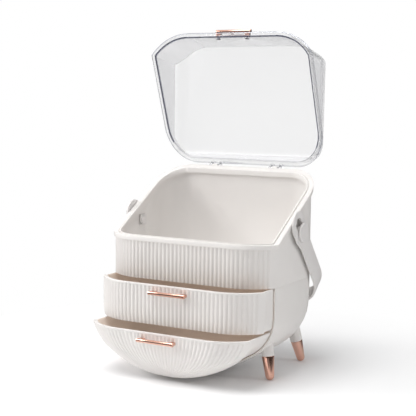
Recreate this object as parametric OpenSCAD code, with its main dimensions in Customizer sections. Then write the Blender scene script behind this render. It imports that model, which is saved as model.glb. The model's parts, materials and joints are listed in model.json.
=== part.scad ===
// Dustproof makeup organizer: an open upper tub over a lower housing with two
// drawers, a clear hinged lid, a strap handle on two studs and four splayed legs.
// X runs across the front, Y from front to back, Z up from the floor.
// Lengths are in millimetres and angles in degrees.

/* [Body] */
// Overall width across the rim
body_w = 252; // [220:1:300]
// Depth from the front corner edges to the flat back of the rim
body_d = 140; // [120:1:180]
// How far the bowed front stands ahead of the corner edges
bow = 31; // [20:1:38]
// Width of the flat middle of the bowed front
bow_flat = 139; // [110:1:160]
// Radius of the two back corners of the rim
back_r = 46; // [25:1:55]
// Setback of every wall from the edge of the rim
skin = 3; // [2:0.1:4]
// Wall thickness of the tub and of the housing
wall = 2.4; // [1.8:0.1:3]

/* [Upper tub] */
// Height of the seam between the housing and the tub
seam_z = 124; // [115:1:140]
// Height of the rim at the front corners
rim_front_z = 180; // [165:1:200]
// Height of the rim at the back
rim_back_z = 266; // [240:1:290]
// Height of the smooth band under the edge of the rim
rim_h = 6; // [4:0.5:9]
// Width of the rim, from its outer edge to the opening
rim_w = 9.2; // [9:0.1:12]
// Width of the raised lip along the opening
lip_w = 1.6; // [1.2:0.1:1.8]
// Height of the raised lip over the rim
lip_h = 1; // [0.8:0.1:2]
// Width of the groove beside the lip
groove_w = 1.6; // [1:0.1:2]
// Depth of the groove beside the lip
groove_d = 1.2; // [0.8:0.1:2]

/* [Reeding] */
// Pitch of the ribs along the bowed fronts
rib_pitch = 6; // [5:0.25:8]
// Height of a rib over the valleys beside it
rib_h = 1.3; // [0.6:0.1:1.5]
// Smooth length left at each front corner
rib_margin = 6; // [4:1:24]

/* [Lower housing] */
// Height where the upright sides start to curve in
curve_z = 86; // [78:1:95]
// Clearance under the lowest point of the housing
belly_z = 5; // [3:0.5:12]
// Radius of the curve from each side into the belly
side_r = 63; // [55:1:70]
// Height where the upright back starts to curve in
bowl_z = 109; // [98:1:115]
// Depth of the flat strip in the middle of the belly
bowl_y = 27; // [15:1:50]
// Height of the middle of the shelf between the drawers
shelf_z = 68.7; // [60:0.1:78]
// Thickness of the shelf between the drawers
shelf_t = 2.4; // [2:0.1:4]
// Gap between the shelf and the walls that hold it
shelf_gap = 0.2; // [0.1:0.05:0.4]
// How far the shelf's round nose stands ahead of the housing
shelf_nose = 1.6; // [1.2:0.1:3]

/* [Drawers] */
// Gap round the drawers
drawer_gap = 0.8; // [0.6:0.1:1.4]
// Wall thickness of the trays and fronts
tray_wall = 2.2; // [1.8:0.1:3]
// Gap between the shut fronts and the edges of the housing
front_gap = 0.3; // [0.2:0.1:0.6]
// Gap between the backs of the trays and the back wall
drawer_back_gap = 4; // [2:0.5:10]
// How far the upper drawer stands open
upper_out = 27; // [0:1:80]
// How far the lower drawer stands open
lower_out = 55; // [0:1:90]
// Height of the smooth band along the top of a drawer's front
band_h = 2.2; // [1.2:0.1:4]

/* [Pulls] */
// Length of the bar of a pull
pull_len = 54; // [40:1:70]
// Diameter of the bar of a pull
pull_dia = 5.2; // [4:0.1:7]
// Distance between the middles of the two feet
pull_feet = 45; // [32:1:50]
// Width of a foot along the bar
foot_w = 7; // [5:0.5:9]
// Height of a foot
foot_h = 3.6; // [3.2:0.1:4.4]
// Gap between the bar and the front that it stands on
pull_gap = 5; // [4:0.5:8]
// Drop from the top edge of a drawer's front to the middle of the bar
pull_drop = 9.5; // [7:0.5:14]
// Diameter of the screws in the feet
screw_d = 2.4; // [2:0.1:2.8]
// Thickness of the heads of the screws
head_h = 1.4; // [1:0.1:2]

/* [Lid] */
// How far the lid leans open from its shut position
lid_open = 102; // [0:1:110]
// Setback of the lid's wall from the edge of the rim
lid_in = 5; // [4:0.5:6]
// Thickness of the clear wall
lid_wall = 2; // [1.6:0.1:2.4]
// Height of the top panel over the front corner edges
lid_front_top = 252; // [235:1:275]
// Height of the top panel at the back
lid_back_top = 278; // [274:1:300]
// Radius of the top side edges
lid_r = 20; // [10:1:26]
// Radius of the top back edge
lid_back_r = 15; // [8:1:18]
// Distance from the corner edges back to the crease of the sloped front facet
crease_y = 10; // [6:1:20]
// Sagitta of the crease over the width of the body
crease_sag = 12; // [8:1:20]
// Slope of the front facet
facet_a = 20; // [14:1:26]
// Width of the flange round the foot of the lid
flange_w = 7.2; // [6.8:0.1:7.3]
// Thickness of the flange
flange_t = 2.2; // [1.8:0.1:3]
// Gap between the shut lid and the rim
lid_gap = 0.4; // [0.3:0.1:0.8]
// Height of the middle of the lid's bar over the flange
lid_pull_up = 4.6; // [3.5:0.1:8]
// Thickness of the clear block behind the lid's bar
block_t = 2; // [1.5:0.1:3]

/* [Lid hinges] */
// Distance from the middle of the body to a hinge
hinge_x = 48; // [30:1:70]
// Distance of the hinge axis behind the rim
hinge_back = 4.4; // [4.2:0.1:6]
// Depth of the hinge axis under the back of the rim
hinge_drop = 1.8; // [1:0.1:3]
// Radius of the hinge barrels
barrel_r = 3.6; // [3.2:0.1:4]
// Length of the tub's barrel in a hinge
lug_w = 8; // [6:0.5:12]
// Length of each of the lid's two barrels in a hinge
ear_w = 4.5; // [3.5:0.5:6]
// Gap between the barrels of a hinge
ear_gap = 0.4; // [0.3:0.1:0.6]
// Diameter of the hinge pins
pin_d = 3; // [2.6:0.1:3.4]
// Running clearance on the radius of the pins and of the studs
run_gap = 0.06; // [0.03:0.01:0.09]

/* [Handle] */
// Distance of the studs behind the front corner edges
stud_y = 62; // [50:1:75]
// Height of the studs
stud_z = 189.5; // [180:0.5:195]
// Angle of the strap under the horizontal as it hangs behind the body
swing_rest = 50.5; // [45:0.5:55]
// Width of the strap
strap_w = 26; // [18:1:28]
// Thickness of the strap
strap_t = 3; // [2:0.1:4]
// Gap between the strap and the edge of the rim
strap_gap = 0.8; // [0.6:0.1:3]
// Distance of the middle of the hanging cross strap behind the rim
strap_back = 7.9; // [7.5:0.1:20]
// Outer radius of the bends of the strap
strap_r = 54; // [14:1:60]
// Travel of the studs in the slots of the strap
slot_travel = 15; // [13:1:24]
// Width of the loop round a slot
loop_w = 35; // [30:1:40]
// Diameter of the stud's neck in the slot
neck_d = 16; // [12:0.5:18]
// Gap between the neck and each side of the slot
slot_gap = 0.2; // [0.1:0.05:0.4]
// Diameter of the stud's disc
disc_d = 25; // [22:1:30]
// Thickness of the stud's disc
disc_t = 3.4; // [2.5:0.1:5]
// Gap between a stud's faces and the strap or the wall
stud_gap = 0.35; // [0.3:0.05:0.5]
// Diameter of the stud's shaft through the wall
shaft_d = 10; // [8:0.5:12]
// Length of the clip that holds a stud inside the tub
clip_l = 15; // [14:1:20]
// Thickness of the clip
clip_t = 2.2; // [1.5:0.1:3]

/* [Legs] */
// Distance of the front points from the sides of the rim
front_leg_in = 17; // [14:0.5:30]
// Distance of the back points from the sides of the rim
back_leg_in = 25; // [20:0.5:34]
// Distance of the front points from the front corner edges
leg_front = 15.5; // [13:0.5:30]
// Distance of the back points from the flat back
leg_back = 13; // [8:0.5:25]
// Lean of a leg along the width
leg_lean = 9.5; // [6:0.5:12]
// Lean of a front leg along the depth
front_lean = 5; // [2:0.5:10]
// Lean of a back leg along the depth
back_lean = 13; // [10:0.5:18]
// Radius of the round point of a foot
point_r = 5.8; // [4.5:0.1:6.5]
// Depth of the flat ground on the point
point_flat = 0.4; // [0.3:0.1:0.8]
// Radius of the foot where it meets the leg
joint_r = 8.3; // [6.5:0.1:9]
// Radius of the leg at the housing
leg_r = 9.5; // [8:0.1:10.5]
// Length of the metal foot
foot_l = 25.6; // [18:0.2:30]
// Radius of the peg under the leg that holds the foot
peg_r = 3.5; // [2.5:0.1:4.5]
// Length of the peg
peg_l = 9; // [6:1:12]

/* [Hidden] */
half = body_w / 2;
// The origin lies on the floor, in the middle of the part as it stands open.
origin_y = 34.2;
eps = 0.01;
far = 400;
// The radius and angle of the two round ends of the bow
bow_dx = half - bow_flat / 2;
bow_r = (bow_dx * bow_dx + bow * bow) / (2 * bow);
// The slope of the rim, in height over depth
rim_slope = (rim_back_z - rim_front_z) / body_d;
// The belly: two side curves meet one wide curve under the housing.
belly_half = half - skin;
belly_d = curve_z - belly_z;
side_x = belly_half - side_r;
belly_r = (side_x * side_x + belly_d * belly_d - side_r * side_r) / (2 * (belly_d - side_r));
belly_c = belly_z + belly_r;
join_a = atan2(belly_c - curve_z, side_x);
drawer_in = skin + wall + drawer_gap;
upper_z0 = shelf_z + shelf_t / 2 + drawer_gap;
upper_z1 = seam_z - drawer_gap;
lower_z1 = shelf_z - shelf_t / 2 - drawer_gap;
hinge_y = body_d + hinge_back;
hinge_z = rim_back_z - hinge_drop;
strap_x = half + strap_gap;
strap_len = (body_d + strap_back - stud_y) / cos(swing_rest);
disc_x = strap_x + strap_t + stud_gap;
rib_steps = 4;

WHITE = [0.93, 0.92, 0.91];
COPPER = [0.83, 0.56, 0.46];
CLEAR = [0.84, 0.88, 0.9, 0.35];
STEEL = [0.7, 0.7, 0.72];

// Points of an arc round c, from angle a0 to a1 in n steps
function arc(c, r, a0, a1, n) = [for (i = [0:n]) let (a = a0 + (a1 - a0) * i / n) c + r * [cos(a), sin(a)]];
function flip(pts) = [for (i = [len(pts) - 1:-1:0]) [-pts[i][0], pts[i][1]]];

// The right half of the bowed front, set back by t from the edge of the rim
function bow_end(t) = asin((half - t - bow_flat / 2) / (bow_r - t));
function bow_right(t) = arc([bow_flat / 2, bow_r - bow], bow_r - t, -90, -90 + bow_end(t), 10);
// The right half of the back, as seen from above
function back_right(t, y1) = arc([half - back_r, y1 + t - back_r], back_r - t, 0, 90, 12);
// The whole outline from above, anticlockwise from the left front corner
function plan(t) = concat(flip(bow_right(t)), bow_right(t), back_right(t, body_d - t), flip(back_right(t, body_d - t)));
// The bowed front as a path: point and outward normal at length s from its middle
reed_in = bow_r - skin;
reed_len = bow_flat / 2 + reed_in * bow_end(skin) * PI / 180;
function bow_turn(s) = max(0, abs(s) - bow_flat / 2) / reed_in * 180 / PI;
function bow_normal(s) = [sign(s) * sin(bow_turn(s)), -cos(bow_turn(s))];
function bow_point(s) =
  [sign(s) * min(abs(s), bow_flat / 2), bow_r - bow] + reed_in * bow_normal(s);
// Half as many ribs as fit between the middle and the smooth corner
ribs = floor((reed_len - rib_margin) / rib_pitch);
function rib_rise(k) = rib_h * abs(sin(180 * k / rib_steps));
reeded = concat(
  [bow_point(-reed_len)],
  [for (k = [-ribs * rib_steps:ribs * rib_steps]) let (s = k * rib_pitch / rib_steps)
    bow_point(s) + rib_rise(k) * bow_normal(s)],
  [bow_point(reed_len)]
);
// The same curve without ribs, as high as the tops of the ribs between its two ends
banded = concat(
  [bow_point(-reed_len)],
  [for (k = [-ribs * rib_steps:ribs * rib_steps]) let (s = k * rib_pitch / rib_steps)
    bow_point(s) + (abs(k) == ribs * rib_steps ? 0 : rib_h) * bow_normal(s)],
  [bow_point(reed_len)]
);
// The smooth curve behind the ribs, set back by the thickness of a drawer's front, with
// a point behind every valley
plain_end = bow_right(skin + tray_wall)[10];
plain = concat(
  [[-plain_end[0], plain_end[1]]],
  [for (k = [-ribs:ribs]) bow_point(k * rib_pitch) - tray_wall * bow_normal(k * rib_pitch)],
  [plain_end]
);

// The housing narrows from curve_z down in width and from bowl_z down in depth. A row is
// one level of it, named by a key: "z" with a height, or "a" with an angle below the
// horizontal on the side and belly curves. Its outline at setback t is [half width, height].
function row_at(t, a) = a < join_a
  ? [side_x, curve_z] + (side_r + skin - t) * [cos(a), -sin(a)]
  : [0, belly_c] + (belly_r + skin - t) * [cos(a), -sin(a)];
function row(t, key) = key[0] == "z" ? [half - t, key[1]] : row_at(t, key[1]);
// The distance of the back from the front corner edges at height z and setback t
function back_at(t, z) = let (r = bowl_z - belly_z + skin - t)
  bowl_y + (body_d - t - bowl_y) * (z > bowl_z ? 1 : sqrt(1 - pow((bowl_z - z) / r, 2)));
// The outline of one row from above, from y0 to the back set forward by gap
function row_plan(t, gap, y0, at) = let (
  sx = at[0] / (half - t),
  sy = (back_at(t, at[1]) - gap) / (body_d - t - gap),
  right = [for (p = back_right(t, body_d - t - gap)) [p[0] * sx, p[1] * sy]]
) concat([[-at[0], y0], [at[0], y0]], right, flip(right));

// Sets a piece from the frame of the front corner edges into the part's frame
module place() translate([0, -origin_y, 0]) children();
// A prism along Y from y0 to y1, with its outline in X and Z
module along_y(y0, y1) translate([0, y1, 0]) rotate([90, 0, 0]) linear_extrude(y1 - y0) children();
// A prism along X from x0 to x1, with its outline in Y and Z
module along_x(x0, x1) translate([x0, 0, 0]) rotate([90, 0, 90]) linear_extrude(x1 - x0) children();

// Everything under the rim's surface raised by dz
module under_rim(dz) along_x(-far, far) polygon([
  [-far, 0], [far, 0], [far, rim_front_z + far * rim_slope + dz], [0, rim_front_z + dz], [-far, rim_front_z + dz]
]);
// The layer between two heights over the rim's surface
module rim_layer(dz0, dz1) along_x(-far, far) polygon([
  [-far, rim_front_z + dz0], [0, rim_front_z + dz0], [far, rim_front_z + far * rim_slope + dz0],
  [far, rim_front_z + far * rim_slope + dz1], [0, rim_front_z + dz1], [-far, rim_front_z + dz1]
]);
module plan_ring(t0, t1) linear_extrude(far) difference() {
  polygon(plan(t0));
  polygon(plan(t1));
}

// The room that the housing's shape takes up at setback t between the first and last key
module bowl(t, gap, y0, keys) {
  rows = [for (k = keys) row(t, k)];
  outlines = [for (at = rows) row_plan(t, gap, y0, at)];
  n = len(outlines[0]);
  last = (len(keys) - 1) * n;
  polyhedron(
    points = [for (j = [0:len(keys) - 1]) for (p = outlines[j]) [p[0], p[1], rows[j][1]]],
    faces = concat(
      [for (j = [0:len(keys) - 2]) for (i = [0:n - 1]) let (a = j * n + i, b = j * n + (i + 1) % n) each [
        [a, b, b + n], [a, b + n, a + n]
      ]],
      [[for (i = [n - 1:-1:0]) i], [for (i = [0:n - 1]) last + i]]
    )
  );
}
// The rows of the upright part from height z down, and those of the curved part from angle a
function upright_keys(z) = [["z", z], ["z", bowl_z], ["z", (bowl_z + curve_z) / 2], ["z", curve_z]];
side_rows = 6;
belly_rows = 6;
belly_end = 86;
function curved_keys(a) = [
  for (i = [0:side_rows]) ["a", a + (join_a - a) * i / side_rows],
  for (i = [1:belly_rows]) ["a", join_a + (belly_end - join_a) * i / belly_rows]
];
function housing_keys(z) = concat(upright_keys(z), [for (i = [1:side_rows + belly_rows]) curved_keys(0)[i]]);

module stud_bore(side) translate([side * half, stud_y, stud_z]) rotate([0, 90, 0])
  cylinder(r = shaft_d / 2 + run_gap, h = 4 * (skin + wall), center = true, $fn = 48);

module hinge_lug(x) {
  translate([x - lug_w / 2, hinge_y, hinge_z]) rotate([0, 90, 0]) cylinder(r = barrel_r, h = lug_w, $fn = 40);
  // The web runs from the wall of the tub to the barrel.
  translate([x - lug_w / 2, body_d - skin - eps, hinge_z - 2 * barrel_r])
    cube([lug_w, hinge_back + skin + eps, 2 * barrel_r]);
}

module upper_tub() color(WHITE) place() difference() {
  union() {
    intersection() {
      translate([0, 0, seam_z]) linear_extrude(far)
        polygon(concat(reeded, back_right(skin, body_d - skin), flip(back_right(skin, body_d - skin))));
      under_rim(-rim_h + eps);
    }
    intersection() {
      linear_extrude(far) polygon(plan(0));
      rim_layer(-rim_h, 0);
    }
    intersection() {
      plan_ring(rim_w - lip_w, rim_w);
      rim_layer(-eps, lip_h);
    }
    for (side = [-1, 1]) hinge_lug(side * hinge_x);
  }
  // The hollow, and the narrower opening through the rim
  intersection() {
    translate([0, 0, seam_z + wall]) linear_extrude(far) polygon(plan(skin + wall));
    under_rim(-rim_h);
  }
  translate([0, 0, seam_z + wall]) linear_extrude(far) polygon(plan(rim_w));
  intersection() {
    plan_ring(rim_w - lip_w - groove_w, rim_w - lip_w);
    rim_layer(-groove_d, lip_h);
  }
  for (side = [-1, 1]) {
    stud_bore(side);
    translate([side * hinge_x, hinge_y, hinge_z]) rotate([0, 90, 0])
      cylinder(r = pin_d / 2 + run_gap / 2, h = 2 * lug_w, center = true, $fn = 32);
  }
}

module lower_housing() color(WHITE) place() difference() {
  bowl(skin, 0, 0, housing_keys(seam_z));
  bowl(skin + wall, 0, -1, housing_keys(seam_z + 1));
}

module drawer_shelf() color(WHITE) place() {
  shelf_in = skin + wall + shelf_gap;
  bowl(shelf_in, 0, 0, [for (z = [shelf_z + shelf_t / 2, shelf_z - shelf_t / 2]) ["a", angle_at(shelf_in, z)]]);
  // The nose is a half round along the front edge.
  along_x(-half + 4 * skin + wall, half - 4 * skin - wall) union() {
    translate([-shelf_nose + shelf_t / 2, shelf_z]) circle(d = shelf_t, $fn = 32);
    translate([-shelf_nose + shelf_t / 2, shelf_z - shelf_t / 2]) square([shelf_nose, shelf_t]);
  }
}

// A drawer's tray, open at the front where the bowed front closes it
module tray(keys, inner_keys) difference() {
  bowl(drawer_in, drawer_back_gap, -front_gap, keys);
  bowl(drawer_in + tray_wall, drawer_back_gap, -front_gap - 1, inner_keys);
}

// A row's curve seen from above shrinks with the width, so the ribs fan towards the belly.
// The curve is moved so that its two ends lie on the front edge of the tray.
function row_points(curve, full, at) =
  [for (p = curve) [p[0] * at[0] / full, (p[1] - curve[0][1]) * at[0] / full - front_gap, at[1]]];

// The faces of an upright edge, from the outer point o to the inner point n, where the
// outer face has extra rows over those of the inner face
function edge_faces(o, n, no, ni, rows, inner_rows, turn) = let (extra = rows - inner_rows) concat(
  [for (j = [0:extra - 1]) turned([n, o + j * no, o + (j + 1) * no], turn)],
  [for (j = [0:inner_rows - 2]) let (a = o + (extra + j) * no, b = n + j * ni) each [
    turned([b, a, a + no], turn), turned([b, a + no, b + ni], turn)
  ]]
);
function turned(f, turn) = turn ? [f[2], f[1], f[0]] : f;

// A drawer's front between two rows of keys. The first two rows of the outer face make
// the smooth band along the top, the rows under them carry all the ribs, and each row of
// the inner face is plain. The outer face also covers the front edges of the housing.
module fanned_front(keys, inner_keys) {
  outer = [for (j = [0:len(keys) - 1])
    each row_points(j < 2 ? banded : reeded, half - skin, row(skin, keys[j]))];
  inner = [for (k = inner_keys) each row_points(plain, half - skin - tray_wall, row(drawer_in + tray_wall, k))];
  no = len(reeded);
  ni = len(plain);
  rows = len(keys);
  inner_rows = len(inner_keys);
  base = no * rows;
  last_o = (rows - 1) * no;
  last_i = base + (inner_rows - 1) * ni;
  // Two more points lie in the middle of the back edge of the floor.
  mid_o = last_i + ni;
  mid_i = mid_o + 1;
  polyhedron(
    points = concat(outer, inner, [[0, -front_gap, outer[last_o][2]], [0, -front_gap, inner[last_i - base][2]]]),
    faces = concat(
      [for (j = [0:rows - 2]) for (i = [0:no - 2]) each [
        [j * no + i, j * no + i + 1, (j + 1) * no + i + 1],
        [j * no + i, (j + 1) * no + i + 1, (j + 1) * no + i]
      ]],
      [for (j = [0:inner_rows - 2]) for (i = [0:ni - 2]) each [
        [base + j * ni + i, base + (j + 1) * ni + i + 1, base + j * ni + i + 1],
        [base + j * ni + i, base + (j + 1) * ni + i, base + (j + 1) * ni + i + 1]
      ]],
      // The two upright edges that meet the tray, from the top down
      edge_faces(0, base, no, ni, rows, inner_rows, false),
      edge_faces(no - 1, base + ni - 1, no, ni, rows, inner_rows, true),
      // The top edge: one face for each rib, and one for each smooth end
      [[base, base + 1, 1, 0], [base + ni - 2, base + ni - 1, no - 1, no - 2]],
      [for (r = [0:2 * ribs - 1])
        concat([base + r + 1, base + r + 2], [for (i = [rib_steps:-1:0]) 1 + r * rib_steps + i])],
      // The underside, the floor and the back edge of the floor
      [for (i = [0:no - 2]) [mid_o, last_o + i, last_o + i + 1]],
      [for (i = [0:ni - 2]) [mid_i, last_i + i + 1, last_i + i]],
      [[mid_i, last_i, last_o, mid_o], [last_i + ni - 1, mid_i, mid_o, last_o + no - 1]]
    )
  );
}

// The angle on the belly's outline at height z and setback t
function angle_at(t, z) = asin((curve_z - z) / (side_r + skin - t));

// The half width of a drawer at height z and setback t
function row_half(t, z) = z > curve_z ? half - t : row_at(t, angle_at(t, z))[0];
// Where the tops of the ribs and the inner face lie on the flat middle of a front, at height z
front_depth = bow - skin + reeded[0][1];
function crest_y(z) = -(front_depth + rib_h) * row_half(skin, z) / (half - skin) - front_gap;
inner_depth = bow - skin - tray_wall + plain[0][1];
function inner_y(z) = -inner_depth * row_half(drawer_in + tray_wall, z) / (half - skin - tray_wall) - front_gap;

upper_pull_z = upper_z1 - pull_drop;
lower_pull_z = lower_z1 - pull_drop;
head_r = 1.16 * screw_d;

module at_feet(y, z) for (side = [-1, 1]) translate([side * pull_feet / 2, y, z]) rotate([90, 0, 0]) children();

// A pull whose feet stand on the plane y, with blind holes for its screws
module pull(y, z) difference() {
  union() {
    translate([0, y - pull_gap - pull_dia / 2, z]) rotate([0, 90, 0])
      cylinder(d = pull_dia, h = pull_len, center = true, $fn = 40);
    for (side = [-1, 1]) translate([side * pull_feet / 2 - foot_w / 2, y - pull_gap - pull_dia / 2, z - foot_h / 2])
      cube([foot_w, pull_gap + pull_dia / 2, foot_h]);
  }
  at_feet(y + eps, z) cylinder(d = screw_d + 0.1, h = pull_gap + eps, $fn = 24);
}

// Two screws whose heads seat on the plane y0, with their shanks ending in the feet at y1
module pull_screws(y0, y1, z) {
  at_feet(y0, z) cylinder(d = screw_d, h = y0 - y1 + pull_gap - 0.5, $fn = 24);
  at_feet(y0 + head_h, z) cylinder(r = head_r, h = head_h, $fn = 32);
}

module screw_holes(z) at_feet(0, z) cylinder(d = screw_d + 0.2, h = 2 * bow, $fn = 24);

// The rows of the upper drawer from height z down to z0 at setback t
function upper_rows(t, z, z0) = concat(upright_keys(z), [for (i = [1:3]) ["a", angle_at(t, z0) * i / 3]]);
upper_keys = concat(
  [["z", upper_z1], ["z", upper_z1 - band_h], ["z", upper_z1 - band_h - rib_h / 2], ["z", curve_z]],
  [for (i = [1:3]) ["a", angle_at(skin, upper_z0) * i / 3]]
);
upper_floor = angle_at(drawer_in + tray_wall, upper_z0 + tray_wall);
upper_inner_keys = [["z", upper_z1], ["z", curve_z], for (i = [1:3]) ["a", upper_floor * i / 3]];
lower_keys = concat(
  [["a", angle_at(skin, lower_z1)], ["a", angle_at(skin, lower_z1 - band_h)]],
  curved_keys(angle_at(skin, lower_z1 - band_h - rib_h / 2))
);

module upper_drawer_tray() color(WHITE) place() translate([0, -upper_out, 0])
  tray(upper_rows(drawer_in, upper_z1, upper_z0),
    upper_rows(drawer_in + tray_wall, upper_z1 + 1, upper_z0 + tray_wall));
module lower_drawer_tray() color(WHITE) place() translate([0, -lower_out, 0])
  tray(curved_keys(angle_at(drawer_in, lower_z1)), curved_keys(angle_at(drawer_in + tray_wall, lower_z1 + 1)));

module upper_drawer_front() color(WHITE) place() translate([0, -upper_out, 0]) difference() {
  fanned_front(upper_keys, upper_inner_keys);
  screw_holes(upper_pull_z);
}

module lower_drawer_front() color(WHITE) place() translate([0, -lower_out, 0]) difference() {
  fanned_front(lower_keys, curved_keys(angle_at(drawer_in + tray_wall, lower_z1)));
  screw_holes(lower_pull_z);
}

module upper_pull() color(COPPER) place() translate([0, -upper_out, 0])
  pull(crest_y(upper_pull_z + foot_h / 2), upper_pull_z);
module lower_pull() color(COPPER) place() translate([0, -lower_out, 0])
  pull(crest_y(lower_pull_z + foot_h / 2), lower_pull_z);

module upper_pull_screws() color(STEEL) place() translate([0, -upper_out, 0])
  pull_screws(inner_y(upper_pull_z - head_r), crest_y(upper_pull_z + foot_h / 2), upper_pull_z);
module lower_pull_screws() color(STEEL) place() translate([0, -lower_out, 0])
  pull_screws(inner_y(lower_pull_z - head_r), crest_y(lower_pull_z + foot_h / 2), lower_pull_z);

// The lid's pieces are drawn shut and swung open round the hinge axis.
module lid_place() place() translate([0, hinge_y, hinge_z]) rotate([-lid_open, 0, 0])
  translate([0, -hinge_y, -hinge_z]) children();

lid_slope = atan((lid_back_top - lid_front_top) / body_d);
function panel_z(y) = lid_front_top + y * tan(lid_slope);
lid_back_c = [
  body_d - lid_in - lid_back_r,
  panel_z(body_d - lid_in - lid_back_r) - lid_back_r / cos(lid_slope)
];
crease_half = half - lid_in;
crease_r = (crease_half * crease_half + crease_sag * crease_sag) / (2 * crease_sag);

// The lid's outline from the front, under its top panel, with round top edges
function lid_front(t) = concat(
  [[-half + lid_in + t, -far], [half - lid_in - t, -far]],
  arc([half - lid_in - lid_r, -lid_r], lid_r - t, 0, 90, 10),
  flip(arc([half - lid_in - lid_r, -lid_r], lid_r - t, 0, 90, 10))
);
// The lid's outline from the side, with a round edge where the panel meets the back
function lid_side(t) = let (edge = arc(lid_back_c, lid_back_r - t, 0, 90 + lid_slope, 10)) concat(
  [[-far, 0], [edge[0][0], 0]], edge,
  [[-far, edge[10][1] - (far + edge[10][0]) * tan(lid_slope)]]
);

module lid_form(t) difference() {
  intersection() {
    linear_extrude(far) polygon(plan(lid_in + t));
    translate([0, 0, lid_front_top]) rotate([lid_slope, 0, 0]) along_y(-far, far) polygon(lid_front(t));
    along_x(-far, far) polygon(lid_side(t));
  }
  // The facet ahead of the crease is part of a wide cone.
  translate([0, crease_y - crease_r, panel_z(crease_y) - t]) rotate_extrude($fn = 360) polygon([
    [0, -crease_r * tan(facet_a)], [crease_r + far, far * tan(facet_a)], [crease_r + far, far], [0, far]
  ]);
}

module lid_ear(x) {
  translate([x - ear_w / 2, hinge_y, hinge_z]) rotate([0, 90, 0]) cylinder(r = barrel_r, h = ear_w, $fn = 40);
  translate([x - ear_w / 2, body_d - flange_w / 2, rim_back_z + lid_gap])
    cube([ear_w, flange_w / 2 + hinge_back, flange_t]);
}

lid_pull_z = rim_front_z + lid_gap + flange_t + lid_pull_up;
lid_pull_y = -bow + lid_in;

module lid_shell() color(CLEAR) lid_place() difference() {
  union() {
    difference() {
      lid_form(0);
      lid_form(lid_wall);
      under_rim(lid_gap);
    }
    intersection() {
      plan_ring(lid_gap, flange_w);
      rim_layer(lid_gap, lid_gap + flange_t);
    }
    for (side = [-1, 1]) for (end = [-1, 1])
      lid_ear(side * hinge_x + end * (lug_w / 2 + ear_gap + ear_w / 2));
  }
  for (side = [-1, 1]) translate([side * hinge_x, hinge_y, hinge_z]) rotate([0, 90, 0])
    cylinder(r = pin_d / 2 + run_gap, h = 4 * lug_w, center = true, $fn = 32);
  at_feet(lid_pull_y + 2 * lid_wall, lid_pull_z) cylinder(d = screw_d + 0.2, h = 3 * lid_wall, $fn = 24);
}

module lid_pull() color(COPPER) lid_place() pull(lid_pull_y, lid_pull_z);
module lid_pull_screws() color(STEEL) lid_place() pull_screws(lid_pull_y + lid_wall, lid_pull_y, lid_pull_z);

// A clear block with a middle rib stands on the flange between the feet.
module lid_pull_block() color(CLEAR) lid_place() {
  block_w = pull_feet - foot_w - 1;
  block_h = lid_pull_z - rim_front_z - lid_gap - flange_t;
  translate([-block_w / 2, lid_pull_y - block_t, rim_front_z + lid_gap + flange_t])
    cube([block_w, block_t, block_h]);
  translate([-block_t / 2, lid_pull_y - 2 * block_t, rim_front_z + lid_gap + flange_t])
    cube([block_t, 1.5 * block_t, block_h]);
}

module hinge_pins() color(STEEL) place() for (side = [-1, 1])
  translate([side * hinge_x, hinge_y, hinge_z]) rotate([0, 90, 0])
    cylinder(d = pin_d, h = lug_w + 2 * (ear_gap + ear_w), center = true, $fn = 32);

// The handle's frame: Y runs along its arms, away from the studs.
module handle_place() place() translate([0, stud_y, stud_z]) rotate([-swing_rest, 0, 0]) children();

loop_r = loop_w / 2;
slot_r = neck_d / 2 + slot_gap;
neck_in = loop_r * 0.25;
arm_start = loop_r + 2;
bend_c = [strap_x + strap_t - strap_r, strap_len + strap_t / 2 - strap_r];

module strap_loop() difference() {
  polygon(concat(
    arc([-slot_travel, 0], loop_r, 90, 270, 24),
    [[neck_in, -loop_r], [arm_start, -strap_w / 2], [arm_start + 4, -strap_w / 2]],
    [[arm_start + 4, strap_w / 2], [arm_start, strap_w / 2], [neck_in, loop_r]]
  ));
  polygon(concat(arc([-slot_travel, 0], slot_r, 90, 270, 24), arc([0, 0], slot_r, -90, 90, 24)));
}

module carry_handle() color(WHITE) handle_place() union() {
  linear_extrude(strap_w, center = true) polygon(concat(
    [[strap_x + strap_t, arm_start]], arc(bend_c, strap_r, 0, 90, 12),
    flip(arc(bend_c, strap_r, 0, 90, 12)), [[-strap_x - strap_t, arm_start], [-strap_x, arm_start]],
    [for (p = arc(bend_c, strap_r - strap_t, 0, 90, 12)) [-p[0], p[1]]],
    arc(bend_c, strap_r - strap_t, 90, 0, 12), [[strap_x, arm_start]]
  ));
  along_x(strap_x, strap_x + strap_t) strap_loop();
  along_x(-strap_x - strap_t, -strap_x) strap_loop();
}

stud_in = half - skin - wall - stud_gap - clip_t - 0.6;
neck_x = half - skin + stud_gap;
disc_edge = 0.8;

// A stud is turned round the X axis: a disc, a neck for the slot and a shaft for the wall.
module stud() place() translate([0, stud_y, stud_z]) rotate([0, 90, 0]) rotate_extrude($fn = 64) polygon([
  [0, stud_in], [shaft_d / 2, stud_in], [shaft_d / 2, neck_x], [neck_d / 2, neck_x], [neck_d / 2, disc_x],
  [disc_d / 2 - disc_edge, disc_x], [disc_d / 2, disc_x + disc_edge],
  [disc_d / 2, disc_x + disc_t - disc_edge], [disc_d / 2 - disc_edge, disc_x + disc_t], [0, disc_x + disc_t]
]);
module right_stud() color(WHITE) stud();
module left_stud() color(WHITE) mirror([1, 0, 0]) stud();

module stud_clip() place() translate([half - skin - wall - stud_gap - clip_t, stud_y, stud_z]) rotate([0, 90, 0])
  difference() {
    translate([-clip_l / 2, -clip_l / 2, 0]) cube([clip_l, clip_l, clip_t]);
    translate([0, 0, -1]) cylinder(d = shaft_d + 0.1, h = clip_t + 2, $fn = 48);
  }
module right_stud_clip() color(WHITE) stud_clip();
module left_stud_clip() color(WHITE) mirror([1, 0, 0]) stud_clip();

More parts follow.
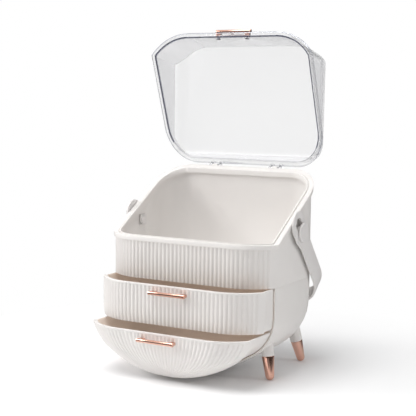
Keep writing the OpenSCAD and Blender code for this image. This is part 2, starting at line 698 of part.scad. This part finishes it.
// A leg's frame stands at the middle of its round point, with Z up along the leg.
module leg_place(side, end) translate([
  side * (half - (end < 0 ? front_leg_in : back_leg_in)),
  end < 0 ? leg_front : body_d - leg_back, point_r - point_flat
]) rotate([end < 0 ? -front_lean : back_lean, -side * leg_lean, 0]) children();

module leg(side, end) place() difference() {
  leg_place(side, end) {
    translate([0, 0, foot_l]) cylinder(r1 = joint_r, r2 = leg_r, h = 1.8 * foot_l, $fn = 48);
    translate([0, 0, foot_l - peg_l]) cylinder(r = peg_r, h = peg_l + 1, $fn = 32);
  }
  bowl(skin, 0, 0, [for (i = [3:side_rows + 4]) housing_keys(seam_z)[i]]);
}

// A foot is a metal cap with a blind bore for the leg's peg.
module foot(side, end) place() difference() {
  leg_place(side, end) difference() {
    union() {
      sphere(r = point_r, $fn = 48);
      cylinder(r1 = point_r, r2 = joint_r, h = foot_l, $fn = 48);
    }
    translate([0, 0, foot_l - peg_l - 0.5]) cylinder(r = peg_r + 0.05, h = peg_l + 1, $fn = 32);
  }
  translate([-far, -far, -far]) cube([2 * far, 2 * far, far]);
}

module front_left_leg() color(WHITE) leg(-1, -1);
module front_right_leg() color(WHITE) leg(1, -1);
module back_left_leg() color(WHITE) leg(-1, 1);
module back_right_leg() color(WHITE) leg(1, 1);
module front_left_foot() color(COPPER) foot(-1, -1);
module front_right_foot() color(COPPER) foot(1, -1);
module back_left_foot() color(COPPER) foot(-1, 1);
module back_right_foot() color(COPPER) foot(1, 1);

upper_tub();
lower_housing();
drawer_shelf();
upper_drawer_tray();
upper_drawer_front();
upper_pull();
upper_pull_screws();
lower_drawer_tray();
lower_drawer_front();
lower_pull();
lower_pull_screws();
lid_shell();
lid_pull();
lid_pull_block();
lid_pull_screws();
hinge_pins();
carry_handle();
left_stud();
right_stud();
left_stud_clip();
right_stud_clip();
front_left_leg();
front_right_leg();
back_left_leg();
back_right_leg();
front_left_foot();
front_right_foot();
back_left_foot();
back_right_foot();
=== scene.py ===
import json
import math

import bmesh
import bpy
from mathutils import Matrix, Vector

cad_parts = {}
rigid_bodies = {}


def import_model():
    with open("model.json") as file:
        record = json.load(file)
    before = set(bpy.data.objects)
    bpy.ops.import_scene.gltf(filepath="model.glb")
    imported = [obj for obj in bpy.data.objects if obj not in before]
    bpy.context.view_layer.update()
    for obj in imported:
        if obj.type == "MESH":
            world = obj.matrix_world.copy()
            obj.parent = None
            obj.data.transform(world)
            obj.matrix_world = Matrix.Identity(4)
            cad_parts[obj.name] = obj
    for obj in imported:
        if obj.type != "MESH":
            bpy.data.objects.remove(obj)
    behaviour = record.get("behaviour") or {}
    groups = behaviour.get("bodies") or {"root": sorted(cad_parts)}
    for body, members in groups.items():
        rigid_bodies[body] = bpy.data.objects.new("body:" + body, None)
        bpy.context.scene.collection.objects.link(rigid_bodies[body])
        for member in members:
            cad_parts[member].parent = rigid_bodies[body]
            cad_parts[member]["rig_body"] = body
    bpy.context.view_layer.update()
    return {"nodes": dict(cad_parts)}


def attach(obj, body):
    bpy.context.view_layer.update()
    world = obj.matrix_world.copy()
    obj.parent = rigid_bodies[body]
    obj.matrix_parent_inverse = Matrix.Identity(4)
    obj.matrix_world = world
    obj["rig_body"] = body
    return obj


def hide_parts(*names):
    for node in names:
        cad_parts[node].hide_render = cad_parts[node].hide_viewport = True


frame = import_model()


# ---- Upper tub ----
# One injection moulding in white ABS: a reeded bowed front, plain sides and back, a slanted
# rim with a groove and a lip, and two lugs for the lid's hinges. The mould leaves a fine
# satin grain, and every edge has a small radius.
class Value:
    """A number or colour in a material's nodes, which arithmetic extends with Math nodes."""

    def __init__(self, paint, socket):
        self.paint, self.socket = paint, socket

    def __add__(self, other):
        return self.paint.math("ADD", self, other)

    def __mul__(self, other):
        return self.paint.math("MULTIPLY", self, other)

    __radd__, __rmul__ = __add__, __mul__


class Paint:
    """A material under construction, with its Principled shader and its nodes."""

    def __init__(self, name):
        self.material = bpy.data.materials.new(name)
        self.material.use_nodes = True
        self.tree = self.material.node_tree
        self.shader = self.tree.nodes["Principled BSDF"]
        self.output = self.tree.nodes["Material Output"]

    def node(self, kind, settings=None, out=0, **sockets):
        made = self.tree.nodes.new(kind)
        for key, value in (settings or {}).items():
            if key == "stops":
                while len(made.color_ramp.elements) < len(value):
                    made.color_ramp.elements.new(0.5)
                for stop, (place, colour) in zip(made.color_ramp.elements, value):
                    stop.position, stop.color = place, (*colour, 1)
            else:
                setattr(made, key, value)
        for key, value in sockets.items():
            at = int(key[1:]) if key[0] == "_" and key[1:].isdigit() else key.replace("_", " ")
            self.feed(made.inputs[at], value)
        return Value(self, made.outputs[out])

    def feed(self, socket, value):
        if isinstance(value, Value):
            self.tree.links.new(value.socket, socket)
        else:
            socket.default_value = value

    def math(self, operation, a, b=0.0):
        return self.node("ShaderNodeMath", {"operation": operation}, _0=a, _1=b)

    def mix(self, factor, a, b):
        return self.node("ShaderNodeMix", {"data_type": "RGBA"}, 2, _0=factor, _6=a, _7=b)

    def place(self):
        return self.node("ShaderNodeTexCoord", None, 3)

    def axes(self, vector):
        split = self.node("ShaderNodeSeparateXYZ", None, 0, Vector=vector).socket.node
        return [Value(self, split.outputs[i]) for i in range(3)]

    def noise(self, scale, detail=2.0, rough=0.5):
        return self.node("ShaderNodeTexNoise", None, 0, Vector=self.place(), Scale=scale,
                         Detail=detail, Roughness=rough)

    def ramp(self, value, low, high, to_low=0.0, to_high=1.0):
        return self.node("ShaderNodeMapRange", {"clamp": True}, 0, Value=value,
                         From_Min=low, From_Max=high, To_Min=to_low, To_Max=to_high)

    def bump(self, height, strength, distance, under=None):
        below = {"Normal": under} if under is not None else {}
        return self.node("ShaderNodeBump", None, 0, Height=height, Strength=strength,
                         Distance=distance, **below)

    def set(self, **sockets):
        for key, value in sockets.items():
            self.feed(self.shader.inputs[key.replace("_", " ")], value)
        return self.material


def srgb(r, g, b):
    linear = [c / 255 / 12.92 if c <= 10 else ((c / 255 + 0.055) / 1.055) ** 2.4
              for c in (r, g, b)]
    return (*linear, 1.0)


def moulded(name, colour, shade, roughness=0.36):
    paint = Paint(name)
    cloud = paint.noise(9.0, 3.0)
    tone = paint.mix(paint.ramp(cloud, 0.3, 0.7), colour, shade)
    grain = paint.noise(2600.0, 2.0, 0.6)
    wave = paint.noise(38.0, 1.0)
    skin = paint.bump(grain, 0.12, 0.00008)
    skin = paint.bump(wave, 0.10, 0.0006, skin)
    sheen = paint.ramp(paint.noise(60.0, 4.0), 0.25, 0.75, roughness - 0.05, roughness + 0.06)
    return paint.set(Base_Color=tone, Roughness=sheen, Normal=skin, IOR=1.5)


def finished(node, name, materials, radius=0.0004, limit=50, smooth=34, segments=2):
    """A copy of a CAD node with its doubles merged, its edges rounded and its curves smooth."""
    body = frame["nodes"][node]["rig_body"]
    bpy.ops.object.select_all(action="DESELECT")
    piece = bpy.data.objects.new(name, frame["nodes"][node].data.copy())
    bpy.context.scene.collection.objects.link(piece)
    piece.select_set(True)
    bpy.context.view_layer.objects.active = piece
    bpy.ops.mesh.customdata_custom_splitnormals_clear()
    bpy.ops.object.mode_set(mode="EDIT")
    bpy.ops.mesh.select_all(action="SELECT")
    bpy.ops.mesh.remove_doubles(threshold=0.000008)
    bpy.ops.mesh.dissolve_limited(angle_limit=math.radians(0.25))
    bpy.ops.object.mode_set(mode="OBJECT")
    if radius:
        bevel = piece.modifiers.new("edges", "BEVEL")
        bevel.width, bevel.segments = radius, segments
        bevel.limit_method, bevel.angle_limit = "ANGLE", math.radians(limit)
        bevel.use_clamp_overlap = True
        bpy.ops.object.modifier_apply(modifier="edges")
    bpy.ops.object.shade_smooth_by_angle(angle=math.radians(smooth))
    piece.data.materials.clear()
    for material in materials:
        piece.data.materials.append(material)
    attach(piece, body)
    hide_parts(node)
    return piece


white = srgb(232, 229, 226)
white_shade = srgb(229, 225, 222)
tub_white = moulded("tub_white", white, white_shade)
finished("upper_tub", "tub_moulding", [tub_white], radius=0.0005, limit=60)


# ---- Lower housing and its shelf ----
# The housing is a second white moulding, bowl-shaped from the front. Its inner faces are
# lit only by what bounces from wall to wall, which a painted warm tint and a painted faint
# glow stand for.
# Painted warm tint of inner faces, which stands for light bounced from wall to wall.
painted_bounce_tone = srgb(242, 230, 220)
painted_bounce_tone_shade = srgb(239, 226, 215)


def painted_bounce(name):
    """The plastic of inner faces, with a painted warm tint and a painted faint glow for bounced
    light.
    """
    made = moulded(name, painted_bounce_tone, painted_bounce_tone_shade, 0.45)
    shader = made.node_tree.nodes["Principled BSDF"]
    # The painted glow: a faint warm emission that stands for light bounced inside.
    shader.inputs["Emission Color"].default_value = (0.7, 0.58, 0.49, 1)
    shader.inputs["Emission Strength"].default_value = 0.08
    return made


def paint_bounce_inside(piece, inner, middle):
    """Gives the faces of a hollow piece that look towards its middle a second material, which
    carries the painted bounce light.
    """
    piece.data.materials.append(inner)
    for face in piece.data.polygons:
        if face.normal.dot(Vector(middle) - face.center) > 0.0:
            face.material_index = 1


housing_white = moulded("housing_white", white, white_shade)
housing_painted_bounce = painted_bounce("housing_painted_bounce")
housing = finished("lower_housing", "housing_moulding", [housing_white],
                   radius=0.0005, limit=60)
paint_bounce_inside(housing, housing_painted_bounce, (0.0, 0.0, 0.09))
finished("drawer_shelf", "shelf_plate", [housing_white],
         radius=0.0003, limit=60)


# ---- Drawers ----
# Each drawer is a tray with a front welded on, in the same white plastic, with the same
# painted warm tint and painted glow on its inner faces as the housing.
tray_white = moulded("tray_white", white, white_shade)
tray_painted_bounce = painted_bounce("tray_painted_bounce")
front_white = moulded("front_white", white, white_shade)
for tier, middle in (("upper", (0.0, -0.02, 0.12)), ("lower", (0.0, -0.03, 0.055))):
    tray = finished(f"{tier}_drawer_tray", f"{tier}_tray", [tray_white],
                    radius=0.0004, limit=60)
    paint_bounce_inside(tray, tray_painted_bounce, middle)
    front = finished(f"{tier}_drawer_front", f"{tier}_front", [front_white],
                     radius=0.0004, limit=62)
    paint_bounce_inside(front, tray_painted_bounce, middle)


# ---- Pulls and feet ----
# Plated metal with a rose-gold finish: bars on two block feet, and the caps on the legs,
# whose cones are in the housing's white plastic.
def plated(name, colour, shade):
    paint = Paint(name)
    tone = paint.mix(paint.ramp(paint.noise(30.0, 3.0), 0.35, 0.65), colour, shade)
    fine = paint.noise(900.0, 3.0, 0.6)
    return paint.set(Base_Color=tone, Metallic=1.0,
                     Roughness=paint.ramp(fine, 0.3, 0.7, 0.05, 0.12),
                     Normal=paint.bump(fine, 0.05, 0.00005))


copper = plated("rose_plating", srgb(238, 192, 174), srgb(230, 178, 158))
for node in ("upper_pull", "lower_pull", "lid_pull"):
    finished(node, node + "_bar", [copper], radius=0.0003, limit=50, segments=3)
for side in ("front_left", "front_right", "back_left", "back_right"):
    finished(f"{side}_foot", f"{side}_cap", [copper],
             radius=0.0004, limit=50, segments=3)
    finished(f"{side}_leg", f"{side}_cone", [housing_white],
             radius=0.0004, limit=50)


# ---- Screws and pins ----
# Plain steel, out of sight: two screws through each face behind a pull, and the two pins
# of the lid's hinges.
steel = Paint("steel")
steel_tone = steel.mix(steel.noise(200.0), srgb(178, 178, 180), srgb(196, 196, 198))
steel = steel.set(Base_Color=steel_tone, Metallic=1.0, Roughness=0.3)
for node in ("upper_pull_screws", "lower_pull_screws", "lid_pull_screws", "hinge_pins"):
    finished(node, node + "_steel", [steel], radius=0.0002, limit=50)


# ---- Lid ----
# The lid is moulded in clear plastic: a thin shell with a facet in front of its crease, a
# flange round its foot and two pairs of hinge barrels. A clear block sits under its bar.
def see_through(name, colour, least, most, roughness):
    """Clear plastic that mirrors more at a slant, over what shows straight through it."""
    paint = Paint(name)
    slant = paint.node("ShaderNodeLayerWeight", None, 0, Blend=0.32)
    polish = paint.ramp(paint.noise(45.0, 2.0), 0.3, 0.7, roughness, roughness + 0.03)
    body = paint.set(Base_Color=colour, Metallic=0.3, Roughness=polish,
                     Normal=paint.bump(paint.noise(22.0, 1.0), 0.12, 0.0006))
    window = paint.node("ShaderNodeBsdfTransparent", None, 0, Color=(1, 1, 1, 1))
    both = paint.node("ShaderNodeMixShader", None, 0, _0=paint.ramp(slant, 0.0, 1.0, least, most),
                      _1=window, _2=Value(paint, paint.shader.outputs[0]))
    paint.feed(paint.output.inputs[0], both)
    return body


clear = see_through("clear_plastic", srgb(236, 236, 238), 0.13, 0.46, 0.04)
# Painted edge lines: a dark one and a light one, standing for how light bends through thick clear
# edges.
painted_inner_edge = see_through("clear_painted_dark_edge", srgb(84, 88, 116), 0.7, 0.85, 0.12)
painted_outer_edge = see_through("clear_painted_light_edge", srgb(206, 208, 216), 0.38, 0.8, 0.1)
lid = finished("lid_shell", "lid_moulding", [clear, painted_inner_edge, painted_outer_edge],
               radius=0.0003, limit=50, smooth=24)

# The underside of the flange meets the rim. It is inset along its two borders, and the
# thick edges get a painted dark line inside and a painted light line outside, which stand for
# how light bends through cut clear plastic. The faces are found in the shut lid, by how far
# they lie inside the rim's outline and above its plane.
hinge = Vector((0.0, 0.1102, 0.2642))
opened = Matrix.Rotation(math.radians(-102.0), 3, "X")
corner_line = -0.0342
half_width, back_line, front_line = 0.126, 0.140, -0.031
back_corner, back_radius = (0.080, 0.094), 0.046
bow_end, bow_radius = (0.0695, 0.03599), 0.06699
seat, seat_slope = 0.1804, 0.6143
flange_reach, flange_thickness, seat_play = 0.0078, 0.0027, 0.0006


def when_shut(point):
    return hinge + opened.transposed() @ (point - hinge)


def setback(point):
    """How far a point of the shut lid lies inside the outline of the rim."""
    x, y = abs(point.x), point.y - corner_line
    if x > back_corner[0] and y > back_corner[1]:
        return back_radius - math.hypot(x - back_corner[0], y - back_corner[1])
    if x > bow_end[0] and y < bow_end[1]:
        return min(half_width - x, bow_radius - math.hypot(x - bow_end[0], y - bow_end[1]))
    return min(half_width - x, back_line - y, y - front_line)


def above_seat(point):
    """How high a point of the shut lid lies over the rim, which is level in front."""
    return point.z - seat - max(0.0, point.y - corner_line) * seat_slope


def is_underside(face):
    corners = [when_shut(corner.co) for corner in face.verts]
    return ((opened.transposed() @ face.normal).z < -0.7
            and max(abs(above_seat(corner)) for corner in corners) < seat_play
            and max(map(setback, corners)) < flange_reach)


def pick_faces(piece, wanted):
    """Opens a piece in edit mode with only the wanted faces selected."""
    bpy.ops.object.select_all(action="DESELECT")
    piece.select_set(True)
    bpy.context.view_layer.objects.active = piece
    bpy.ops.object.mode_set(mode="EDIT")
    bpy.ops.mesh.select_mode(type="FACE")
    bpy.ops.mesh.select_all(action="DESELECT")
    edit = bmesh.from_edit_mesh(piece.data)
    for face in edit.faces:
        face.select_set(wanted(face))
    bmesh.update_edit_mesh(piece.data)


pick_faces(lid, is_underside)
bpy.ops.mesh.inset(thickness=0.0017, depth=0.0, use_boundary=True, use_even_offset=True)
bpy.ops.object.mode_set(mode="OBJECT")
for face in lid.data.polygons:
    middle = when_shut(face.center)
    if -0.0004 < above_seat(middle) < flange_thickness:
        if 0.0058 < setback(middle) < 0.0076:
            face.material_index = 1
        elif -0.0002 < setback(middle) < 0.0016:
            face.material_index = 2

# The clear block under the bar, with its middle rib
clear_block = see_through("clear_block", srgb(232, 218, 218), 0.72, 0.9, 0.12)
finished("lid_pull_block", "lid_block", [clear_block], radius=0.0003, limit=50)


# ---- Handle and studs ----
# A flat strap in white plastic with a slotted loop at each end, which turns and slides on
# two studs through the walls of the tub.
handle_white = moulded("handle_white", srgb(226, 223, 221), srgb(222, 218, 216), 0.4)
finished("carry_handle", "handle_strap", [handle_white],
         radius=0.0006, limit=50, segments=3)
for side in ("left", "right"):
    finished(f"{side}_stud", f"{side}_button", [handle_white],
             radius=0.0003, limit=50, segments=3)
    clip = finished(f"{side}_stud_clip", f"{side}_clip", [handle_white],
                    radius=0.0)
    inward = 1.0 if side == "left" else -1.0
    reach = max(face.center.x * inward for face in clip.data.polygons)
    pick_faces(clip, lambda face: face.normal.x * inward > 0.95
               and face.calc_center_median().x * inward > reach - 0.0002)
    bpy.ops.mesh.inset(thickness=0.0014, depth=-0.0008, use_boundary=True)
    bpy.ops.object.mode_set(mode="OBJECT")
    bevel = clip.modifiers.new("edges", "BEVEL")
    bevel.width, bevel.segments, bevel.limit_method = 0.0003, 2, "ANGLE"
    bevel.angle_limit = math.radians(40)
    bpy.ops.object.modifier_apply(modifier="edges")


# ---- Studio ----
# A pale floor that runs up into the background, soft light from the left and above, and
# the camera a little above the rim, at the front right corner.
def stage_plane(name, half, z):
    mesh = bpy.data.meshes.new(name)
    corners = [(-half, -half, z), (half, -half, z), (half, half, z), (-half, half, z)]
    mesh.from_pydata(corners, [], [(0, 1, 2, 3)])
    plane = bpy.data.objects.new(name, mesh)
    bpy.context.scene.collection.objects.link(plane)
    return plane


floor = stage_plane("floor", 12.0, 0.0)
pale = Paint("floor_pale")
pale.set(Base_Color=(0.95, 0.95, 0.955, 1), Roughness=0.6, Specular_IOR_Level=0.1)
far_x, far_y, far_z = pale.axes(pale.place())
distance = pale.math("SQRT", far_x * far_x + far_y * far_y)
seen = pale.node("ShaderNodeLightPath", None, 0) * pale.ramp(distance, 0.16, 0.46)
glow = pale.node("ShaderNodeEmission", None, 0, Color=(1, 1, 1, 1), Strength=1.0)
plain = Value(pale, pale.shader.outputs[0])
lit = pale.node("ShaderNodeMixShader", None, 0, _0=seen, _1=plain, _2=glow)
glossy_ray = 3
mirrored = pale.node("ShaderNodeLightPath", None, glossy_ray) * pale.ramp(distance, 0.14, 0.35)
dim = pale.node("ShaderNodeEmission", None, 0, Color=(0.05, 0.05, 0.05, 1), Strength=1.0)
shown = pale.node("ShaderNodeMixShader", None, 0, _0=mirrored, _1=lit, _2=dim)
pale.feed(pale.output.inputs[0], shown)
floor.data.materials.append(pale.material)

world = bpy.data.worlds.new("studio")
bpy.context.scene.world = world
world.use_nodes = True
sky = world.node_tree
ray = sky.nodes.new("ShaderNodeLightPath")
direction = sky.nodes.new("ShaderNodeTexCoord")
split = sky.nodes.new("ShaderNodeSeparateXYZ")
sky.links.new(direction.outputs["Generated"], split.inputs[0])
bands = sky.nodes.new("ShaderNodeValToRGB")
sky.links.new(split.outputs[2], bands.inputs[0])
while len(bands.color_ramp.elements) < 4:
    bands.color_ramp.elements.new(0.5)
levels = ((0.0, 0.08), (0.16, 0.05), (0.34, 0.75), (1.0, 1.0))
for stop, (place, level) in zip(bands.color_ramp.elements, levels):
    stop.position, stop.color = place, (level, level, level, 1)
plain_level = sky.nodes.new("ShaderNodeMix")
plain_level.data_type = "FLOAT"
sky.links.new(ray.outputs["Is Glossy Ray"], plain_level.inputs[0])
plain_level.inputs[2].default_value = 0.42
sky.links.new(bands.outputs[0], plain_level.inputs[3])
mixed = sky.nodes.new("ShaderNodeMix")
mixed.data_type = "FLOAT"
sky.links.new(ray.outputs["Is Camera Ray"], mixed.inputs[0])
sky.links.new(plain_level.outputs[0], mixed.inputs[2])
mixed.inputs[3].default_value = 1.0
sky.links.new(mixed.outputs[0], sky.nodes["Background"].inputs["Strength"])
sky.nodes["Background"].inputs["Color"].default_value = (1, 1, 1, 1)


def soft_light(name, at, towards, size, watts):
    lamp = bpy.data.lights.new(name, "AREA")
    lamp.shape, lamp.size, lamp.size_y, lamp.energy = "RECTANGLE", size[0], size[1], watts
    holder = bpy.data.objects.new(name, lamp)
    bpy.context.scene.collection.objects.link(holder)
    holder.location = at
    holder.rotation_euler = (Vector(towards) - Vector(at)).to_track_quat("-Z", "Y").to_euler()


soft_light("key", (-1.85, -1.1, 1.1), (0, 0, 0.15), (0.7, 1.1), 25)
soft_light("side", (1.9, 0.5, 0.8), (0, 0, 0.15), (0.5, 1.2), 6)
soft_light("top", (-0.2, -0.5, 1.9), (0, 0, 0.1), (1.2, 1.2), 24)

camera_data = bpy.data.cameras.new("view")
camera_data.lens, camera_data.sensor_width = 90.81, 36.0
camera = bpy.data.objects.new("view", camera_data)
bpy.context.scene.collection.objects.link(camera)
yaw, pitch, roll = math.radians(29.827), math.radians(6.2626), math.radians(0.5534)
ahead = Vector((-math.sin(yaw) * math.cos(pitch), math.cos(yaw) * math.cos(pitch), -math.sin(pitch)))
level_right = Vector((math.cos(yaw), math.sin(yaw), 0.0))
level_up = level_right.cross(ahead)
right = level_right * math.cos(roll) + level_up * math.sin(roll)
up = right.cross(ahead)
turn = Matrix((right, up, -ahead)).transposed()
camera.matrix_world = Matrix.Translation((0.69983, -1.21483, 0.36991)) @ turn.to_4x4()
bpy.context.scene.camera = camera
bpy.context.scene.view_settings.view_transform = "Standard"
